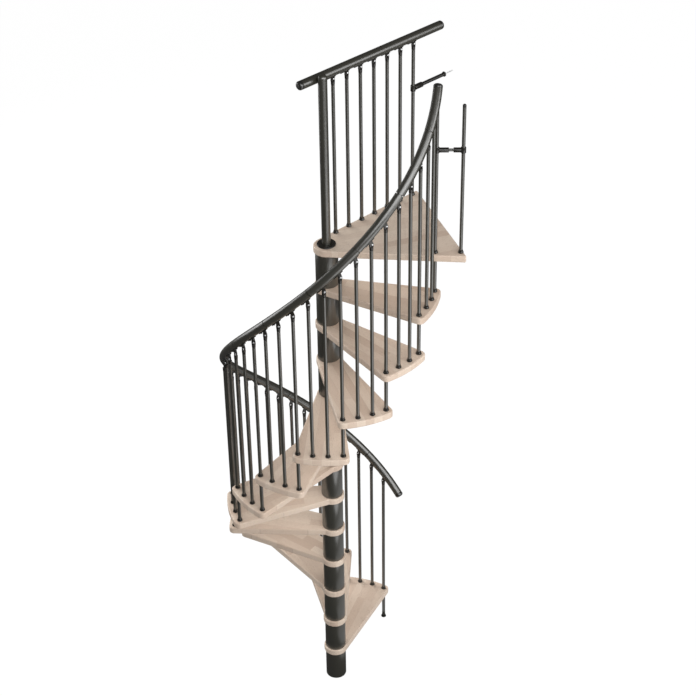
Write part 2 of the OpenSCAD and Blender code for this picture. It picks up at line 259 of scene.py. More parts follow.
def beech(name, along, seed):
    """Staves along the direction `along`, in radians from +X."""
    wood = Finish(name, Coat_Weight=0.12, Coat_Roughness=0.3)
    place = wood.node("ShaderNodeTexCoord").at("Object")
    turned_place = wood.node("ShaderNodeMapping", dict(vector_type="TEXTURE"),
                             dict(Vector=place, Rotation=(0, 0, along)))
    split = wood.node("ShaderNodeSeparateXYZ", {}, dict(Vector=turned_place))
    x, y, z = split, split.at("Y"), split.at("Z")
    across = y / STAVE_W + (seed * 0.37 + 0.5)
    stave = across.floor()
    stave_number = wood.node("ShaderNodeCombineXYZ", {}, dict(X=stave, Y=seed))
    stave_tone = wood.node("ShaderNodeTexWhiteNoise", dict(noise_dimensions="2D"),
                           dict(Vector=stave_number))
    lengthwise = x / BLOCK_L + stave_tone * 7
    block = lengthwise.floor()
    number = wood.node("ShaderNodeCombineXYZ", {}, dict(X=stave, Y=block, Z=seed))
    chance = wood.node("ShaderNodeTexWhiteNoise", dict(noise_dimensions="3D"),
                       dict(Vector=number))
    shift = chance * 3

    # growth rings: long bands that wander a little, different in each block
    ring_place = wood.node("ShaderNodeCombineXYZ", {},
                           dict(X=x * 1.6 + shift, Y=y * 26 + shift, Z=z * 20))
    rings = wood.node("ShaderNodeTexNoise", {},
                      dict(Vector=ring_place, Scale=1.0, Detail=3.0, Roughness=0.55))
    # fibres: very fine streaks along the stave
    fibre_place = wood.node("ShaderNodeCombineXYZ", {}, dict(X=x * 14, Y=y * 900, Z=z * 900))
    fibres = wood.node("ShaderNodeTexNoise", {}, dict(Vector=fibre_place, Scale=1.0, Detail=2.0))
    # flecks: short dark dashes
    fleck_place = wood.node("ShaderNodeCombineXYZ", {}, dict(X=x * 90, Y=y * 700, Z=z * 700))
    fleck_noise = wood.node("ShaderNodeTexNoise", {},
                            dict(Vector=fleck_place, Scale=1.0, Detail=0.0))
    flecks = ((fleck_noise - 0.66) * 12).clamped()
    # glue lines between staves and butt joints between blocks
    side = 0.5 - (across.fraction() - 0.5).absolute()
    end = 0.5 - (lengthwise.fraction() - 0.5).absolute()
    seam = (1 - side * (STAVE_W / SEAM_W)).clamped()
    joint = (1 - end * (BLOCK_L / SEAM_W)).clamped()

    tone = wood.node("ShaderNodeValToRGB", dict(stops=BLOCK_TONES), dict(Fac=chance))
    banded = wood.blend(((rings - 0.35) * 1.6).clamped() * 0.45, tone, DARK_RING)
    fibred = wood.blend(fibres * 0.22, banded, PALE_FIBRE)
    flecked = wood.blend(flecks * 0.35, fibred, FLECK)
    base = wood.blend((seam + joint).clamped() * 0.4, flecked, GLUE)
    relief = fibres * 0.5 - flecks * 0.6 - seam - joint
    wood.drives(Base_Color=base, Roughness=0.44 + fibres * 0.14 - flecks * 0.05,
                Normal=wood.bump(relief, 0.1 * MM, 0.5))
    return wood.material


# %% [markdown]
# ## Powder-coated steel, black plastic and zinc
# The metal parts are powder coated in an anthracite grey: satin, almost black, with the very
# fine orange-peel skin that melted powder leaves. Paint isn't a metal to the light, so
# Metallic stays at 0, and the skin is a small bump of fine noise. A high IOR and specular
# level give the thin tubes the clear light edge that the real coat has. The rails' end caps
# have a darker coat, the moulded parts are smoother, and only the screws are bright.

# %% Metal and plastic finishes
COAT_IOR = 1.85


def coated(name, base, base_2, roughness, peel, specular):
    """Satin paint or moulded plastic: two close tones, and a skin of fine noise."""
    skin = Finish(name, IOR=COAT_IOR, Specular_IOR_Level=specular)
    place = skin.node("ShaderNodeTexCoord").at("Object")
    clouds = skin.node("ShaderNodeTexNoise", {}, dict(Vector=place, Scale=9.0, Detail=4.0))
    grain = skin.node("ShaderNodeTexNoise", {}, dict(Vector=place, Scale=1400.0, Detail=1.0))
    skin.drives(Base_Color=skin.blend(clouds, colour(*base), colour(*base_2)),
                Roughness=roughness - 0.05 + clouds * 0.06 + grain * 0.05,
                Normal=skin.bump(grain, peel, 0.35))
    return skin.material


anthracite = coated("anthracite powder coat", (0.031, 0.029, 0.021), (0.038, 0.036, 0.026),
                    roughness=0.31, peel=0.04 * MM, specular=0.9)
cap_coat = coated("darker coat of the caps", (0.014, 0.013, 0.011), (0.019, 0.018, 0.015),
                  roughness=0.3, peel=0.03 * MM, specular=0.6)
black_plastic = coated("black moulded plastic", (0.013, 0.012, 0.010), (0.020, 0.018, 0.015),
                       roughness=0.24, peel=0.02 * MM, specular=0.35)


def bright_zinc():
    """Plated steel: pale and half matt, with faint streaks from the barrel it was plated in."""
    zinc = Finish("bright zinc", Metallic=0.5)
    place = zinc.node("ShaderNodeTexCoord").at("Object")
    streaks = zinc.node("ShaderNodeTexNoise", {}, dict(Vector=place, Scale=260.0, Detail=3.0))
    tones = colour(0.82, 0.83, 0.85), colour(0.91, 0.92, 0.91)
    zinc.drives(Base_Color=zinc.blend(streaks, *tones), Roughness=0.25 + streaks * 0.2)
    return zinc.material


zinc_plate = bright_zinc()
print("finishes:", [m.name for m in bpy.data.materials])

# %% [markdown]
# ## Selecting and placing
# An operator acts on whatever is selected, so each new piece starts from nothing selected.
# A finished piece keeps its object at the origin: its place is written into its mesh, so
# that a finish on Object coordinates stays where it is.

# %% Selecting and placing
def nothing_selected():
    if bpy.context.object and bpy.context.object.mode != "OBJECT":
        bpy.ops.object.mode_set(mode="OBJECT")
    bpy.ops.object.select_all(action="DESELECT")


def only(piece):
    nothing_selected()
    bpy.context.view_layer.objects.active = piece
    piece.select_set(True)


def placed(piece, place):
    """Moves a piece and writes its place into its mesh."""
    only(piece)
    piece.matrix_world = place @ piece.matrix_world
    bpy.ops.object.transform_apply(location=True, rotation=True, scale=True)
    return piece


def smooth(piece, degrees=35):
    only(piece)
    bpy.ops.object.shade_smooth_by_angle(angle=math.radians(degrees))
    return piece


def applied(piece, kind, **settings):
    """Adds a modifier and applies it."""
    only(piece)
    modifier = piece.modifiers.new(kind.lower(), kind)
    for key, value in settings.items():
        setattr(modifier, key, value)
    bpy.ops.object.modifier_apply(modifier=modifier.name)
    return piece


# %% [markdown]
# ## A lathe
# Most parts here were turned or drawn as tubes, so one helper models like a lathe: it adds a
# circle, extrudes it up the profile ring by ring, and scales each ring to its radius. A tube
# goes up its outside and down its inside, back to where it started, and its ends then meet.

# %% Turning
SAME_PLACE = 1e-6


def turned(name, rings, segments=32, hollow=False):
    """A turned piece that stands along +Z. Rings are (radius, height), from the foot up.
    A hollow one goes up its outside and down its inside, back to the first ring."""
    nothing_selected()
    radius, height = rings[0]
    bpy.ops.mesh.primitive_circle_add(vertices=segments, radius=radius, location=(0, 0, height),
                                      fill_type="NOTHING" if hollow else "NGON")
    piece = bpy.context.object
    piece.name = name
    bpy.ops.object.transform_apply(location=True, rotation=True, scale=True)
    bpy.ops.object.mode_set(mode="EDIT")
    bpy.ops.mesh.select_mode(type="VERT")
    bpy.ops.mesh.select_all(action="SELECT")
    for next_radius, next_height in rings[1:]:
        bpy.ops.mesh.extrude_region_move(
            TRANSFORM_OT_translate={"value": (0, 0, next_height - height)})
        ratio = next_radius / radius
        bpy.ops.transform.resize(value=(ratio, ratio, 1), center_override=(0, 0, next_height))
        radius, height = next_radius, next_height
    bpy.ops.mesh.select_all(action="SELECT")
    bpy.ops.mesh.remove_doubles(threshold=SAME_PLACE)
    bpy.ops.mesh.normals_make_consistent(inside=False)
    bpy.ops.object.mode_set(mode="OBJECT")
    return smooth(piece)


# %% [markdown]
# ## Copying and handing over
# A kit repeats its parts, so a part is modelled once. Its copies, each with its own mesh,
# are then joined into the one piece that stands for a CAD node, dressed in its finish, and
# seated on the frame.

# %% Joining, copying, handing over
def joined(name, parts):
    """Several pieces made one."""
    only(parts[0])
    for part in parts:
        part.select_set(True)
    bpy.ops.object.join()
    parts[0].name = name
    return parts[0]


def copies(name, model, places):
    """One piece that holds a copy of the model at each place."""
    made = []
    for place in places:
        copy = bpy.data.objects.new(name, model.data.copy())
        scene.collection.objects.link(copy)
        made.append(placed(copy, place))
    bpy.data.objects.remove(model)
    return joined(name, made)


def hand_over(piece, finish, slot, *nodes):
    """Dresses a piece, seats it on the frame, and says which CAD nodes it stands for."""
    piece.data.materials.clear()
    piece.data.materials.append(finish)
    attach(piece, "root")
    if nodes:
        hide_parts(*nodes)
    stands_for = ", ".join(nodes) or "no CAD node"
    print(f"{piece.name}: {len(piece.data.polygons)} faces, for {stands_for}")


# %% [markdown]
# ## Treads and landing
# A tread is a 38 mm board, wide outside and narrow at the column, with its top and bottom
# edges rounded over by a router. Its outline is exact in the CAD, so the piece starts as a
# copy of that mesh. Only the rim of its top face is kept, which is filled as one clean face
# and extruded down again. A Bevel modifier then rounds the edges, and the pole's hole is
# drilled last, because the real hole isn't rounded. Weighted normals keep the flat faces
# flat in the light.

# %% Boards
ROUND_OVER, ROUND_STEPS = 7 * MM, 5
POLE_HOLE_R = 21 * MM + CLEARANCE


def less(piece, tool):
    """Takes the shape of a tool out of a piece."""
    applied(piece, "BOOLEAN", operation="DIFFERENCE", object=tool, solver="EXACT")
    bpy.data.objects.remove(tool)
    return piece


def drilled(piece, radius, place):
    """Drills right through, along the place's Z."""
    half = 100 * MM
    return less(piece, placed(turned("drill", [(radius, -half), (radius, half)], 48), place))


def pick(piece, kind, test):
    """In edit mode, selects only the vertices or faces of a piece that pass a test."""
    only(piece)
    bpy.ops.object.mode_set(mode="EDIT")
    bpy.ops.mesh.select_mode(type=kind)
    bpy.ops.mesh.select_all(action="DESELECT")
    bpy.ops.object.mode_set(mode="OBJECT")
    for element in piece.data.polygons if kind == "FACE" else piece.data.vertices:
        element.select = test(element)
    bpy.ops.object.mode_set(mode="EDIT")


def top_rim(name, node):
    """The outline of a board's top face, as a loop of edges, from a copy of its CAD mesh."""
    piece = bpy.data.objects.new(name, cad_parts[node].data.copy())
    scene.collection.objects.link(piece)
    only(piece)
    bpy.ops.object.mode_set(mode="EDIT")
    bpy.ops.mesh.select_all(action="SELECT")
    bpy.ops.mesh.remove_doubles(threshold=0.01 * MM)
    pick(piece, "FACE", lambda face: face.normal.z < 0.9)
    bpy.ops.mesh.delete(type="FACE")
    bpy.ops.mesh.select_all(action="SELECT")
    bpy.ops.mesh.dissolve_limited(angle_limit=math.radians(0.1))
    bpy.ops.mesh.select_all(action="SELECT")
    bpy.ops.mesh.region_to_loop()
    bpy.ops.mesh.select_all(action="INVERT")
    bpy.ops.mesh.delete(type="EDGE")
    bpy.ops.mesh.select_all(action="SELECT")
    bpy.ops.mesh.delete(type="ONLY_FACE")
    pick(piece, "VERT", lambda vertex: vertex.co.xy.length < POLE_HOLE_R + 2 * MM)
    bpy.ops.mesh.delete(type="VERT")
    return piece


def board(name, node, along, seed):
    """A board with its staves in the direction `along`. The seed deals out its blocks."""
    piece = top_rim(name, node)
    bpy.ops.mesh.select_all(action="SELECT")
    bpy.ops.mesh.edge_face_add()
    bpy.ops.mesh.extrude_region_move(TRANSFORM_OT_translate={"value": (0, 0, -TREAD_T)})
    bpy.ops.mesh.select_all(action="SELECT")
    bpy.ops.mesh.normals_make_consistent(inside=False)
    bpy.ops.object.mode_set(mode="OBJECT")
    applied(piece, "BEVEL", width=ROUND_OVER, segments=ROUND_STEPS, limit_method="ANGLE",
            angle_limit=math.radians(50))
    drilled(piece, POLE_HOLE_R, Matrix.Translation((0, 0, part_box(node)[0].z)))
    smooth(piece)
    applied(piece, "WEIGHTED_NORMAL", keep_sharp=True)
    hand_over(piece, beech(f"beech {name}", along, seed), "wood", node)


for k in range(1, TREADS + 1):
    middle = FIRST_NOSE + (k - 0.5) * TURN
    board(f"tread_{k:02d}_board", f"tread_{k:02d}", middle, k)
board("landing_boards", "landing_board", LANDING_DIR, 20)

# %% [markdown]
# ## Column
# Between each two treads stands a steel tube with 3 mm walls. One is turned, with its ends
# slightly rounded as a deburred tube's are, and copied to all thirteen storeys. The pole and
# the base plate inside can't be seen, so their CAD solids stay and only get the finish.

# %% Column tubes
SPACER_R = 57 * MM
SPACER_WALL = 3 * MM
SPACER_H = RISER - TREAD_T
EASE = 1.2 * MM


def tube_rings(outer, inner, height, ease):
    """A tube's profile with eased rims, up the outside and down the inside."""
    return [(inner, 0), (outer - ease, 0), (outer - 0.3 * ease, 0.3 * ease), (outer, ease),
            (outer, height - ease), (outer - 0.3 * ease, height - 0.3 * ease),
            (outer - ease, height), (inner, height), (inner, 0)]


spacer = turned("spacer", tube_rings(SPACER_R, SPACER_R - SPACER_WALL, SPACER_H, EASE), 96,
                hollow=True)
storeys = [Matrix.Translation((0, 0, k * RISER)) for k in range(TREADS + 1)]
hand_over(copies("column_tubes", spacer, storeys), anthracite, "dark_metal", "column_spacers")
for node in ("base_plate", "centre_pole"):
    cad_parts[node].data.materials.clear()
    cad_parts[node].data.materials.append(anthracite)

# %% [markdown]
# ## Tie tubes and balusters
# A short tube ties each nose to the tread below, and the first stands on the floor. Above
# the tread the balusters carry on in a slimmer tube. Every foot sits in a bell-shaped collar
# of black plastic that hides the fixing, so one collar of each bore is turned and copied. A
# thin black ring at the top of each tie tube, under the tread above, is painted shade: it
# stands in for the contact shadow there, and is joined to the collars.

# %% Tubes and collars
TIE_D = 18.5 * MM
TIE_H = RISER - TREAD_T
COLLAR_H = 17 * MM
COLLAR_FLARE = 5.5 * MM
# height and width of the painted shade ring at the top of each tie tube
SHADE_RING_H = 5 * MM
SHADE_RING_W = 1.5 * MM


def rod(name, diameter, height, segments=24, ease=0.6 * MM):
    """A straight tube or bar with eased rims, on the surface at z = 0."""
    r = diameter / 2
    rings = [(r - ease, 0), (r, ease), (r, height - ease), (r - ease, height)]
    return turned(name, rings, segments)


def collar(name, diameter):
    """Bell with a rounded foot, on the surface at z = 0."""
    bore = diameter / 2 + CLEARANCE
    foot = diameter / 2 + COLLAR_FLARE
    neck = diameter / 2 + 0.2 * COLLAR_FLARE
    rings = [(bore, 0), (foot - 0.6 * MM, 0), (foot, 0.8 * MM), (foot, 2.6 * MM),
             (foot - 0.5 * MM, 4 * MM)]
    for share in (0.32, 0.42, 0.54, 0.68, 0.84):
        swell = (1 - share) ** 1.6 * 1.7
        rings.append((neck + min(swell, 1) * (foot - neck - 0.5 * MM), share * COLLAR_H))
    rings += [(neck, COLLAR_H - 0.5 * MM), (neck - 0.5 * MM, COLLAR_H), (bore, COLLAR_H),
              (bore, 0)]
    return turned(name, rings, 32, hollow=True)


tie_places = [at_stair(k, k * RISER) for k in range(TREADS + 1)]
ties = copies("tie_tubes_drawn", rod("tie", TIE_D, TIE_H), tie_places)
hand_over(ties, anthracite, "dark_metal", "tie_tubes")

# painted shade: a black ring at the top of each tie tube, where the tread above casts its contact
# shadow
shade_ring_r, shade_ring_bore = TIE_D / 2 + SHADE_RING_W, TIE_D / 2 + CLEARANCE
ring = turned("ring", [(shade_ring_bore, 0), (shade_ring_r - 0.6 * MM, 0), (shade_ring_r, 0.8 * MM),
                       (shade_ring_r, SHADE_RING_H), (shade_ring_bore, SHADE_RING_H), (shade_ring_bore, 0)], 32, hollow=True)
shade_ring_lift = Matrix.Translation((0, 0, TIE_H - SHADE_RING_H))
painted_shade_rings = copies("rings", ring, [place @ shade_ring_lift for place in tie_places])
tie_feet = copies("feet", collar("foot", TIE_D), tie_places)
hand_over(joined("tie_collars_and_shade_rings", [tie_feet, painted_shade_rings]), black_plastic, "dark_plastic",
          "tie_collars")

# %% [markdown]
# ## Rail brackets
# A bracket joins each baluster to the rail. Its tapered plug sits on the tube, above it is
# an eye that lets the joint turn to the rail's slope, and a thin saddle plate lies under the
# rail with one screw. The stair's and the landing's brackets differ only in slope and
# height. The eye is a block cut slantwise with Bisect and drilled with a Boolean, and the
# plate is hollowed by the rail's own cylinder.

# %% Bracket sizes
EYE_D = BALUSTER_D + 3 * MM
EYE_W = 10 * MM
EYE_HOLE_D = 6.5 * MM
EYE_HOLE_OFFSET = 4 * MM
PLUG_H = 20 * MM
HOOK_T = 3 * MM
PLATE_W, PLATE_T = 15 * MM, 4 * MM
PLATE_UP, PLATE_DOWN = 14 * MM, 44 * MM
PLATE_L = PLATE_UP + PLATE_DOWN
PLATE_MID = (PLATE_DOWN - PLATE_UP) / 2
SEAT_W = 3 * MM
SCREW_D, SCREW_H = 9 * MM, 4 * MM
STAIR_EYE_GAP, GUARD_EYE_GAP = 29 * MM, 16 * MM


def eye_height(slope, eye_gap):
    """Height of the eye's centre over the rail's centre."""
    return -RAIL_R / math.cos(slope) - eye_gap


def plug_foot(slope, eye_gap):
    """Height of the plug's foot over the rail's centre, which is also the baluster's top."""
    return eye_height(slope, eye_gap) - EYE_D / 2 - PLUG_H


def in_the_eye(eye_z):
    """The place in the middle of the eye's bore, with +Z along the bore."""
    return Matrix.Translation((0, EYE_HOLE_OFFSET, eye_z)) @ Matrix.Rotation(math.pi / 2, 4, "Y")


print(f"plug feet {-plug_foot(SLOPE, STAIR_EYE_GAP):.4f} and {-plug_foot(0, GUARD_EYE_GAP):.4f} m "
      "under the rails' centres")


# %% Bracket model


def cut(piece, point, normal):
    """Cuts away what lies beyond a plane, and closes the cut."""
    only(piece)
    bpy.ops.object.mode_set(mode="EDIT")
    bpy.ops.mesh.select_all(action="SELECT")
    bpy.ops.mesh.bisect(plane_co=point, plane_no=normal, use_fill=True, clear_outer=True)
    bpy.ops.object.mode_set(mode="OBJECT")
    return piece


def box(name, low, high):
    """A block from its lowest to its highest corner."""
    nothing_selected()
    low, high = Vector(low), Vector(high)
    bpy.ops.mesh.primitive_cube_add(size=1, location=(low + high) / 2, scale=high - low)
    bpy.context.object.name = name
    bpy.ops.object.transform_apply(location=True, rotation=True, scale=True)
    return bpy.context.object


def bracket_stem(slope, eye_gap):
    """Plug and eye, with the rail's centre at the origin and the rail along Y."""
    r = EYE_D / 2
    eye_z = eye_height(slope, eye_gap)
    foot = plug_foot(slope, eye_gap)
    narrow = BALUSTER_D / 2 + CLEARANCE
    top = foot + PLUG_H
    plug = turned("plug", [(narrow - 0.5 * MM, foot), (narrow, foot + 0.6 * MM),
                           (narrow + 0.3 * MM, foot + 4 * MM), (r - 0.3 * MM, top - 3 * MM),
                           (r, top - 1.2 * MM), (r - 1.2 * MM, top)], 32)
    neck_x = 0.2 * r
    neck_top = -(RAIL_R + PLATE_T / 2) / math.cos(slope)
    eye = box("eye", (-EYE_W / 2, -r, eye_z - r - 0.5 * MM), (EYE_W / 2, r, neck_top + r))
    cut(eye, (0, 0, neck_top), (0, -math.sin(slope), math.cos(slope)))
    hook_low = Vector((0, r, eye_z + HOOK_T))
    hook_high = Vector((0, neck_x, neck_top + neck_x * math.tan(slope)))
    run = hook_high - hook_low
    cut(eye, hook_low, (0, run.z, -run.y))
    applied(eye, "BEVEL", width=0.9 * MM, segments=2, limit_method="ANGLE",
            angle_limit=math.radians(40))
    hole_r, depth = EYE_HOLE_D / 2, EYE_W / 2
    mouth_r = hole_r + 0.9 * depth
    flared = turned("countersink", [(mouth_r, -depth - 0.1 * MM), (hole_r, -0.1 * depth),
                                    (hole_r, 0.1 * depth), (mouth_r, depth + 0.1 * MM)], 32)
    less(eye, placed(flared, in_the_eye(eye_z)))
    return joined("stem", [smooth(plug), smooth(eye)])


def bracket_plate(slope):
    """Saddle plate with its screw, under a rail through the origin."""
    plate = box("plate", (-PLATE_W / 2, -PLATE_L / 2, -RAIL_R - PLATE_T),
                (PLATE_W / 2, PLATE_L / 2, -RAIL_R + SEAT_W))
    drilled(plate, RAIL_R + 0.1 * MM, Matrix.Rotation(math.pi / 2, 4, "X"))
    applied(plate, "BEVEL", width=0.8 * MM, segments=2, limit_method="ANGLE",
            angle_limit=math.radians(50))
    r = SCREW_D / 2
    screw = turned("screw", [(r - 0.4 * MM, 0), (r, 0.4 * MM), (r, 1.6 * MM), (0.85 * r, 3 * MM),
                             (0.5 * r, 3.8 * MM), (0.3 * r, SCREW_H), (0.3 * r, 2.6 * MM)], 24)
    placed(screw, Matrix.Translation((0, SCREW_D - PLATE_L / 2, -RAIL_R - PLATE_T + 0.2 * MM))
           @ Matrix.Rotation(math.pi, 4, "X"))
    return placed(joined("plate", [smooth(plate), screw]), Matrix.Rotation(slope, 4, "X"))


# on the stair the plate lies further down the rail, square to the slope
plate_back = (RAIL_R * math.tan(SLOPE) + PLATE_MID) * math.cos(SLOPE) / (BALUSTER_R * TURN)
stair_stem = bracket_stem(SLOPE, STAIR_EYE_GAP)
down_the_rail = at_stair(0, rail_z(0)).inverted() @ at_stair(-plate_back, rail_z(-plate_back))
stair_bracket = joined("stair_bracket", [stair_stem, placed(bracket_plate(SLOPE), down_the_rail)])
guard_stem = bracket_stem(0, GUARD_EYE_GAP)
guard_plate = placed(bracket_plate(0), Matrix.Translation((0, -PLATE_MID, 0)))
quarter_back = Matrix.Rotation(-math.pi / 2, 4, "Z")
guard_bracket = placed(joined("guard_bracket", [guard_stem, guard_plate]), quarter_back)
for bracket in (stair_bracket, guard_bracket):
    print(f"{bracket.name}: {len(bracket.data.polygons)} faces")

# %% [markdown]
# A bright button-head screw holds each eye. It's the only shiny thing on the stair, and it
# catches the light as a small spark under the rail, so it's worth modelling: a turned dome
# with a countersunk socket, on both ends of a shank that fills the bore.

# %% Eye screws
SCREW_HEAD_R, SCREW_HEAD_H = 4.6 * MM, 2.4 * MM


def eye_screw(slope, eye_gap):
    half, shank_r = EYE_W / 2 - 1.5 * MM, EYE_HOLE_D / 2 - 0.2 * MM
    r, h = SCREW_HEAD_R, SCREW_HEAD_H
    head = [(r, 0), (r, 0.25 * h), (0.92 * r, 0.55 * h), (0.74 * r, 0.82 * h), (0.5 * r, h),
            (0.36 * r, h), (0.30 * r, 0.55 * h)]
    rings = [(radius, -half - z) for radius, z in reversed(head)]
    rings += [(shank_r, -half), (shank_r, half)]
    rings += [(radius, half + z) for radius, z in head]
    return placed(turned("eye_screw", rings, 20), in_the_eye(eye_height(slope, eye_gap)))


stair_screw = eye_screw(SLOPE, STAIR_EYE_GAP)
guard_screw = placed(eye_screw(0, GUARD_EYE_GAP), quarter_back)
print("eye screw:", len(stair_screw.data.polygons), "faces")

# %% [markdown]
# ## The stair's balusters
# Three balusters stand on each tread, a third of a turn step apart, and all reach the same
# height under the sloping rail. So only three lengths exist; each is turned once.

# %% Balusters on the treads
steps = [i / 3 for i in range(3 * TREADS + 1)]


def foot_z(u):
    """Top of the tread, or landing, that a baluster stands on."""
    return (math.floor(u + 0.01) + 1) * RISER


lengths = {}
for u in steps:
    length = rail_z(u) + plug_foot(SLOPE, STAIR_EYE_GAP) - foot_z(u)
    lengths.setdefault(round(length, 4), []).append(u)
print("baluster lengths:", {length: len(us) for length, us in lengths.items()})
groups = [copies("group", rod("baluster", BALUSTER_D, length), [at_stair(u, foot_z(u)) for u in us])
          for length, us in lengths.items()]
on_the_treads = [at_stair(u, foot_z(u)) for u in steps]
under_the_rail = [at_stair(u, rail_z(u)) for u in steps]
hand_over(joined("stair_balusters_drawn", groups), anthracite, "dark_metal", "stair_balusters")
hand_over(copies("stair_baluster_collars", collar("collar", BALUSTER_D), on_the_treads),
          black_plastic, "dark_plastic", "stair_collars")
hand_over(copies("stair_rail_brackets", stair_bracket, under_the_rail),
          black_plastic, "dark_plastic", "stair_brackets")
hand_over(copies("stair_eye_screws", stair_screw, under_the_rail), zinc_plate, "zinc_screw")

# %% [markdown]
# ## Helical handrail
# The rail comes in bent sections as long as a tread's turn, pushed end to end. A section is
# a circle that climbs round the column, which is what the Screw modifier does. The open ends
# are filled, inset, and moved out again, so that two sections meet at a slimmer core. What
# is left between them is a narrow, deep groove, which shows as the dark line of the joint.

# %% Handrail sections
RAIL_START, RAIL_END = -0.46, TREADS
FIRST_JOINT, SECTION = 0.45, 0.99
RAIL_STEPS = 18
GROOVE_HALF, GROOVE_DEPTH = 2 * MM, 8 * MM
SHORTEST = 0.2
ends = [RAIL_START]
while FIRST_JOINT + (len(ends) - 1) * SECTION < RAIL_END - SHORTEST:
    ends.append(FIRST_JOINT + (len(ends) - 1) * SECTION)
ends.append(RAIL_END)


def rail_section(name, start, end):
    """A section of the rail. Each end is cut back by half a groove and has a slimmer core."""
    shy = GROOVE_HALF * math.cos(SLOPE) / (BALUSTER_R * TURN)
    start, end = start + shy, end - shy
    nothing_selected()
    bpy.ops.mesh.primitive_circle_add(vertices=40, radius=RAIL_R, location=(BALUSTER_R, 0, 0),
                                      rotation=(SLOPE - math.pi / 2, 0, 0))
    piece = bpy.context.object
    piece.name = name
    bpy.ops.object.transform_apply(location=True, rotation=True, scale=True)
    applied(piece, "SCREW", angle=(end - start) * TURN, screw_offset=(end - start) * RISER,
            steps=RAIL_STEPS, render_steps=RAIL_STEPS, axis="Z")
    bpy.ops.object.mode_set(mode="EDIT")
    bpy.ops.mesh.select_all(action="SELECT")
    bpy.ops.mesh.fill_holes(sides=0)
    bpy.ops.mesh.select_all(action="SELECT")
    bpy.ops.mesh.normals_make_consistent(inside=False)
    pick(piece, "FACE", lambda face: len(face.vertices) > 4)
    bpy.ops.mesh.inset(thickness=GROOVE_DEPTH, depth=0)
    bpy.ops.mesh.inset(thickness=0.02 * MM, depth=GROOVE_HALF)
    bpy.ops.object.mode_set(mode="OBJECT")
    placed(piece, Matrix.Rotation(FIRST_NOSE + start * TURN, 4, "Z")
           @ Matrix.Translation((0, 0, rail_z(start))))
    return smooth(piece)


for k, (start, end) in enumerate(zip(ends, ends[1:]), 1):
    hand_over(rail_section(f"handrail_section_{k:02d}", start, end), anthracite, "dark_metal",
              f"handrail_{k:02d}")

# %% [markdown]
# ## Rail ends
# Each rail ends in a turned cap with a well rounded rim and a small countersink in its flat
# end. It has a darker coat than the rail. The four caps are one model, turned to point along
# the helix or the straight rail.

# %% Rail caps
CAP_L, CAP_ROUND = 20 * MM, RAIL_R / 2


def rounded_rim(flat, height, radius):
    """Rings of a quarter circle, from a turned piece's side over to its flat end."""
    quarter = [math.radians(degrees) for degrees in range(10, 91, 10)]
    return [(flat + radius * math.cos(a), height + radius * math.sin(a)) for a in quarter]


def rail_cap(name):
    """A cap that stands on the rail's end at z = 0."""
    flat, corner = RAIL_R - CAP_ROUND, CAP_L - CAP_ROUND
    rings = [(RAIL_R - 0.9 * MM, 0), (RAIL_R - 0.25 * MM, 0.3 * MM), (RAIL_R, 0.9 * MM),
             (RAIL_R, corner)]
    rings += rounded_rim(flat, corner, CAP_ROUND)
    rings += [(3.2 * MM, CAP_L), (2.6 * MM, CAP_L - 1.2 * MM), (0, CAP_L - 1.4 * MM)]
    return turned(name, rings, 40)


def at_rail_end(u, uphill):
    """The place on a cut end of the rail, with +Z out of it."""
    tilt = SLOPE + (-math.pi / 2 if uphill else math.pi / 2)
    return at_stair(u, rail_z(u)) @ Matrix.Rotation(tilt, 4, "X")


rail_ends = [at_rail_end(RAIL_START, False), at_rail_end(RAIL_END, True)]
hand_over(copies("handrail_end_caps", rail_cap("cap"), rail_ends), cap_coat, "dark_metal",
          "handrail_caps")

# %% [markdown]
# ## Landing post and its disc
# Over the column stands a post with a domed top, in a shallow black disc that covers the
# hole. Both are turned.

# %% Post
POST_R, POST_H = 22 * MM, 920 * MM
DISC_R, DISC_T = 47.5 * MM, 8 * MM


def domed(name, radius, height, flat, segments):
    """A rod with a rounded top that ends in a small flat."""
    dome = radius - flat
    rings = [(radius - 0.5 * MM, 0), (radius, 0.5 * MM), (radius, height - dome)]
    rings += rounded_rim(flat, height - dome, dome)
    return turned(name, rings + [(0, height)], segments)


on_the_hub = Matrix.Translation((0, 0, LANDING_Z))
post = placed(domed("landing_post_tube", POST_R, POST_H, 3 * MM, 40), on_the_hub)
hand_over(post, anthracite, "dark_metal", "landing_post")
bore = POST_R + CLEARANCE
disc = turned("post_foot_disc", [
    (bore, 0), (DISC_R - 0.5 * MM, 0), (DISC_R, 0.6 * MM), (DISC_R, 3.4 * MM),
    (DISC_R - 0.8 * MM, 5.2 * MM), (DISC_R - 2.4 * MM, 6.8 * MM), (DISC_R - 5 * MM, 7.6 * MM),
    (DISC_R - 9 * MM, DISC_T), (bore, DISC_T), (bore, 0)], 64, hollow=True)
hand_over(placed(disc, on_the_hub), black_plastic, "dark_plastic", "post_disc")

# %% [markdown]
# ## Landing balustrade
# Seven balusters along the guarded edge carry a straight rail that runs back past the post
# and out past the landing. They use the same collar, bracket and cap models.

# %% Guard balusters
GUARD_COUNT = 7
GUARD_FIRST = 106 * MM
GUARD_LAST = 632.04 * MM
GUARD_BACK, GUARD_PAST = 89 * MM, 173 * MM
pitch = (GUARD_LAST - GUARD_FIRST) / (GUARD_COUNT - 1)
rail_level = LANDING_Z + GUARD_RAIL_H
guard_length = GUARD_RAIL_H + plug_foot(0, GUARD_EYE_GAP)
on_the_landing = [at_guard(GUARD_FIRST + i * pitch, LANDING_Z) for i in range(GUARD_COUNT)]
at_the_guard_rail = [at_guard(GUARD_FIRST + i * pitch, rail_level) for i in range(GUARD_COUNT)]
lying = Matrix.Rotation(math.pi / 2, 4, "Y")
print(f"guard: {GUARD_COUNT} balusters of {guard_length:.4f} m, {pitch:.4f} m apart")

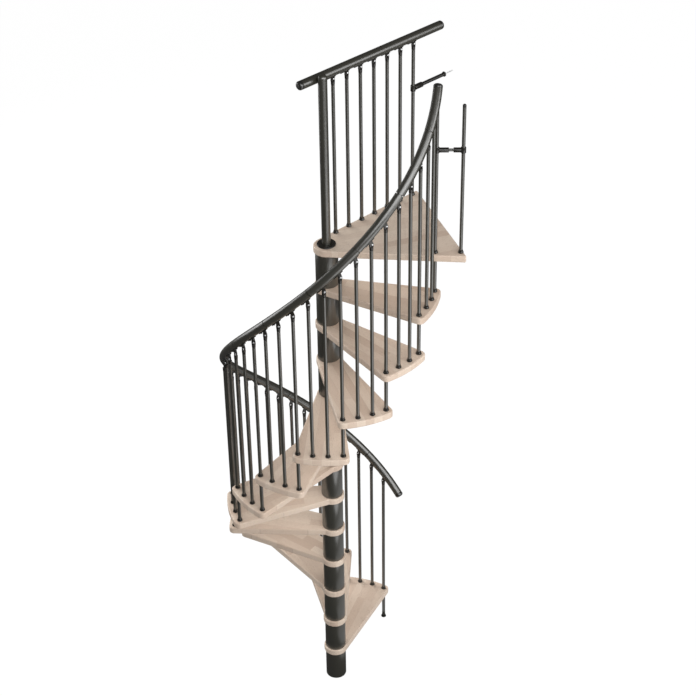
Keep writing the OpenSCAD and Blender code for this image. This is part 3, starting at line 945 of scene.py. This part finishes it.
hand_over(copies("guard_balusters_drawn", rod("baluster", BALUSTER_D, guard_length),
                 on_the_landing), anthracite, "dark_metal", "guard_balusters")
hand_over(copies("guard_baluster_collars", collar("collar", BALUSTER_D), on_the_landing),
          black_plastic, "dark_plastic", "guard_collars")
hand_over(copies("guard_rail_brackets", guard_bracket, at_the_guard_rail),
          black_plastic, "dark_plastic", "guard_brackets")
hand_over(copies("guard_eye_screws", guard_screw, at_the_guard_rail), zinc_plate, "zinc_screw")

# %% Guard rail and its caps
guard_tube = rod("guard_rail_tube", 2 * RAIL_R, GUARD_BACK + GUARD_LAST + GUARD_PAST, 48,
                 0.9 * MM)
hand_over(placed(guard_tube, at_guard(-GUARD_BACK, rail_level) @ lying), anthracite,
          "dark_metal", "guard_rail")
guard_ends = [at_guard(-GUARD_BACK, rail_level) @ Matrix.Rotation(-math.pi / 2, 4, "Y"),
              at_guard(GUARD_LAST + GUARD_PAST, rail_level) @ lying]
hand_over(copies("guard_rail_end_caps", rail_cap("cap"), guard_ends), cap_coat, "dark_metal",
          "guard_rail_caps")

# %% [markdown]
# ## Gap guard
# A single baluster with a domed black cap stands at the landing's near corner. It is on no
# line with the others, so its place is read from its CAD node. A link clamps it to the
# last baluster of the stair: two black sleeves, each with a clamp ring, and a rod between.
# A sleeve is a turned bar lying down, joined to a turned ring that stands up.

# %% Free baluster
FREE_H = 806 * MM
FREE_CAP_L = 15 * MM
low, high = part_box("free_baluster")
free_xy = Vector(((low.x + high.x) / 2, (low.y + high.y) / 2, 0))


def at_free(z):
    """The place on the free baluster's axis, z over the landing."""
    return Matrix.Translation(free_xy + Vector((0, 0, LANDING_Z + z)))


free = placed(rod("free_baluster_tube", BALUSTER_D, FREE_H - FREE_CAP_L), at_free(0))
hand_over(free, anthracite, "dark_metal", "free_baluster")
free_cap = placed(domed("free_baluster_cap", BALUSTER_D / 2, FREE_CAP_L, 2 * MM, 24),
                  at_free(FREE_H - FREE_CAP_L))
hand_over(free_cap, black_plastic, "dark_plastic")
hand_over(placed(collar("free_baluster_foot", BALUSTER_D), at_free(0)), black_plastic,
          "dark_plastic", "free_baluster_collar")

# %% Link
LINK_H = 566 * MM
LINK_D, LINK_ROD_D = 24 * MM, 14 * MM
LINK_NEAR_L, LINK_FAR_L = 56 * MM, 46 * MM
CLAMP_WALL = 4 * MM
near_xy = at_stair(TREADS, 0).translation
link = free_xy - near_xy
link_turn = Matrix.Rotation(math.atan2(link.y, link.x), 4, "Z")
link_start = Matrix.Translation(near_xy + Vector((0, 0, LANDING_Z + LINK_H))) @ link_turn
print(f"link: {link.length:.4f} m between the balusters' axes")


def clamp(name, diameter, length):
    """A sleeve along +X from a clamp ring round a baluster at the origin."""
    r, ease = diameter / 2, 1.2 * MM
    start = BALUSTER_D / 2 + 1 * MM
    sleeve = turned("sleeve", [(r - ease, start), (r, start + ease), (r, length - ease),
                               (r - 0.3 * ease, length - 0.3 * ease), (r - ease, length)], 32)
    placed(sleeve, lying)
    height = diameter + 4 * MM
    outer, inner = BALUSTER_D / 2 + CLAMP_WALL, BALUSTER_D / 2 + CLEARANCE
    ring = turned("clamp", tube_rings(outer, inner, height, 1 * MM), 40, hollow=True)
    placed(ring, Matrix.Translation((0, 0, -height / 2)))
    return joined(name, [sleeve, ring])


about_face = Matrix.Rotation(math.pi, 4, "Z")
near = placed(clamp("near", LINK_D, LINK_NEAR_L), link_start)
far = placed(clamp("far", LINK_D, LINK_FAR_L), at_free(LINK_H) @ link_turn @ about_face)
hand_over(joined("link_clamp_sleeves", [near, far]), black_plastic, "dark_plastic",
          "link_sleeves")
link_rod = placed(rod("link_rod_bar", LINK_ROD_D, link.length - LINK_NEAR_L - LINK_FAR_L),
                  link_start @ Matrix.Translation((LINK_NEAR_L, 0, 0)) @ lying)
hand_over(link_rod, anthracite, "dark_metal", "link_rod")

# %% [markdown]
# ## Wall arm
# An arm reaches from the last baluster of the landing to a wall: a thick sleeve with its
# clamp, a thinner tube, a round plate, and a bare screw whose point is ready for the wall.
# The screw's thread is a stack of turned ridges.

# %% Wall arm
ARM_H, ARM_L = 603 * MM, 218 * MM
ARM_SLEEVE_L, ARM_D, ARM_TUBE_D = 60 * MM, 26.5 * MM, 18.5 * MM
ARM_PLATE_D, ARM_PLATE_T = 26 * MM, 8 * MM
ARM_LAP = 1 * MM
arm_place = at_guard(GUARD_LAST, LANDING_Z + ARM_H)


def along_the_arm(s):
    """The place s metres out on the arm, with +Z along it."""
    return Matrix.Translation((s, 0, 0)) @ lying


arm_tube = placed(rod("tube", ARM_TUBE_D, ARM_L - ARM_PLATE_T - ARM_SLEEVE_L + 2 * ARM_LAP, 28),
                  along_the_arm(ARM_SLEEVE_L - ARM_LAP))
r = ARM_PLATE_D / 2
arm_plate = turned("plate", [(r - 2 * MM, 0), (r - 0.6 * MM, 0.6 * MM), (r, 2 * MM),
                             (r, ARM_PLATE_T - 0.6 * MM), (r - 0.6 * MM, ARM_PLATE_T)], 36)
placed(arm_plate, along_the_arm(ARM_L - ARM_PLATE_T))
arm = joined("wall_arm_parts", [clamp("clamp", ARM_D, ARM_SLEEVE_L), arm_tube, arm_plate])
hand_over(placed(arm, arm_place), black_plastic, "dark_plastic", "wall_arm")

# %% Wall screw
WALL_SCREW_D, WALL_SCREW_L, POINT_L = 6 * MM, 50 * MM, 10 * MM
THREAD_PITCH = 2.5 * MM
r = WALL_SCREW_D / 2
core = 0.72 * r
rings = [(core, 0)]
for i in range(int(WALL_SCREW_L / THREAD_PITCH)):
    rings += [(radius, (i + share) * THREAD_PITCH)
              for radius, share in ((core, 0.35), (r, 0.6), (r, 0.7), (core, 0.95))]
rings += [(0.7 * r, WALL_SCREW_L), (0.25 * r, WALL_SCREW_L + POINT_L)]
screw = placed(turned("wall_screw_thread", rings, 24), arm_place @ along_the_arm(ARM_L))
hand_over(screw, zinc_plate, "zinc_screw", "wall_screw")

# %% [markdown]
# ## Studio floor and air
# The stair stands in a white studio. A wide pale floor turns up into a wall far away, so no
# horizon shows. It glows evenly, which keeps it white whatever the lamps do, and it is
# hidden from reflections and bounced light, so it doesn't wash out the dark metal. The air
# is a plain white world that fills the shadows. A Light Path node dims it in reflections,
# because a coated tube in a real studio mirrors a dark room between the lamps.

# %% Floor and air
FLOOR_GLOW = 0.98
AIR, AIR_IN_REFLECTIONS = 0.33, 0.06
FLOOR_BOWL = [(22, 0), (24.5, 0.6), (26, 2.2), (26.5, 5), (26.5, 14)]
floor_paint = Finish("studio floor", Base_Color=colour(0.04, 0.04, 0.04), Roughness=0.9,
                     Specular_IOR_Level=0.0, Emission_Color=colour(1, 1, 1),
                     Emission_Strength=FLOOR_GLOW)
studio = turned("studio_floor", FLOOR_BOWL, 96)
studio.data.materials.append(floor_paint.material)
studio.visible_glossy = False
studio.visible_diffuse = False

world = bpy.data.worlds.new("studio air")
scene.world = world
world.use_nodes = True
air = world.node_tree.nodes["Background"]
air.inputs["Color"].default_value = colour(1, 1, 1)
rays = world.node_tree.nodes.new("ShaderNodeLightPath")
dimmer = world.node_tree.nodes.new("ShaderNodeMapRange")
dimmer.inputs["To Min"].default_value = AIR
dimmer.inputs["To Max"].default_value = AIR_IN_REFLECTIONS
world.node_tree.links.new(rays.outputs["Is Glossy Ray"], dimmer.inputs["Value"])
world.node_tree.links.new(dimmer.outputs["Result"], air.inputs["Strength"])
print("floor faces:", len(studio.data.polygons))

# %% [markdown]
# ## Lamps
# The key is a large soft box on the right, in front of the stair and above it: it gives each
# tube its light side and the boards their bright outer edges. A box in front evens out the
# tops, and a rim light from the left back draws the tubes' other edge. Two cards close to
# the floor throw light up, on the undersides and the lowest treads. The back light reaches
# the boards behind the column, and is kept out of reflections. No lamp shows to the camera.

# %% Lamps
def soft_box(name, place, target, size, power):
    """A rectangular area lamp that faces a point. Its power is in watts."""
    lamp = bpy.data.lights.new(name, "AREA")
    lamp.shape = "RECTANGLE"
    lamp.size, lamp.size_y = size
    lamp.energy = power
    lit = bpy.data.objects.new(name, lamp)
    scene.collection.objects.link(lit)
    lit.location = place
    lit.rotation_euler = (Vector(target) - Vector(place)).to_track_quat("-Z", "Y").to_euler()
    lit.visible_camera = False
    return lit


CENTRE = (0, 0, 1.9)
soft_box("key", (6.1, -3.9, 4.9), CENTRE, (8.0, 4.6), 310)
soft_box("front box", (1.0, -5.4, 6.4), CENTRE, (5.0, 4.0), 185)
soft_box("rim", (-6.3, 3.0, 2.6), CENTRE, (4.0, 4.0), 125)
soft_box("bounce card", (4.1, -4.4, 0.05), (4.1, -4.4, 5), (6.0, 6.0), 180)
soft_box("side card", (1.7, 0.7, 0.04), (1.7, 0.7, 5), (3.0, 2.6), 8.6)
back_light = soft_box("back light", (-3.0, 4.0, 3.75), (0, 0, 0.5), (4.0, 3.0), 255)
back_light.visible_glossy = False
scene.view_settings.view_transform = "Standard"
print("lamps:", [lamp.name for lamp in bpy.data.lights])
